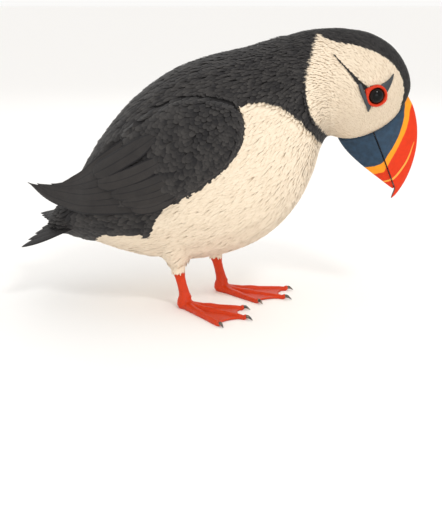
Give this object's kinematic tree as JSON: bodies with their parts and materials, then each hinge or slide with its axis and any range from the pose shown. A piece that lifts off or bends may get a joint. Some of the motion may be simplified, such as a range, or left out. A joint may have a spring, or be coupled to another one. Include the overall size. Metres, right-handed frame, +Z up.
{
  "type": "atlantic puffin",
  "caption": "Life-size still atlantic puffin, standing on webbed feet with folded wings and its head bowed, deep bill pointing down",
  "frame": {"origin": "on the floor, under the middle of the whole box", "axes": "+X forward, the way the bird faces; +Y its left; +Z up"},
  "size_m": [0.2222, 0.1084, 0.1591],
  "materials": {
    "plumage_black": "soft matt feathers, charcoal black",
    "plumage_white": "soft matt feathers, warm white",
    "bill": "satin horn: slate blue at the base, a yellow-orange band, red outside it",
    "eye": "wet gloss",
    "leg_skin": "satin scaled skin, orange-red",
    "claw": "satin horn, nearly black"
  },
  "bodies": {
    "root": {"trunk": "plumage_black", "neck": "plumage_black", "wing_left": "plumage_black", "wing_right": "plumage_black", "primaries_left": "plumage_black", "primaries_right": "plumage_black", "tail": "plumage_black", "head": "plumage_white", "thigh_left": "plumage_white", "thigh_right": "plumage_white", "bill_upper": "bill", "bill_lower": "bill", "eye_left": "eye", "eye_right": "eye", "shank_left": "leg_skin", "shank_right": "leg_skin", "foot_left": "leg_skin", "foot_right": "leg_skin", "claw_inner_left": "claw", "claw_middle_left": "claw", "claw_outer_left": "claw", "claw_inner_right": "claw", "claw_middle_right": "claw", "claw_outer_right": "claw"}
  },
  "joints": []
}
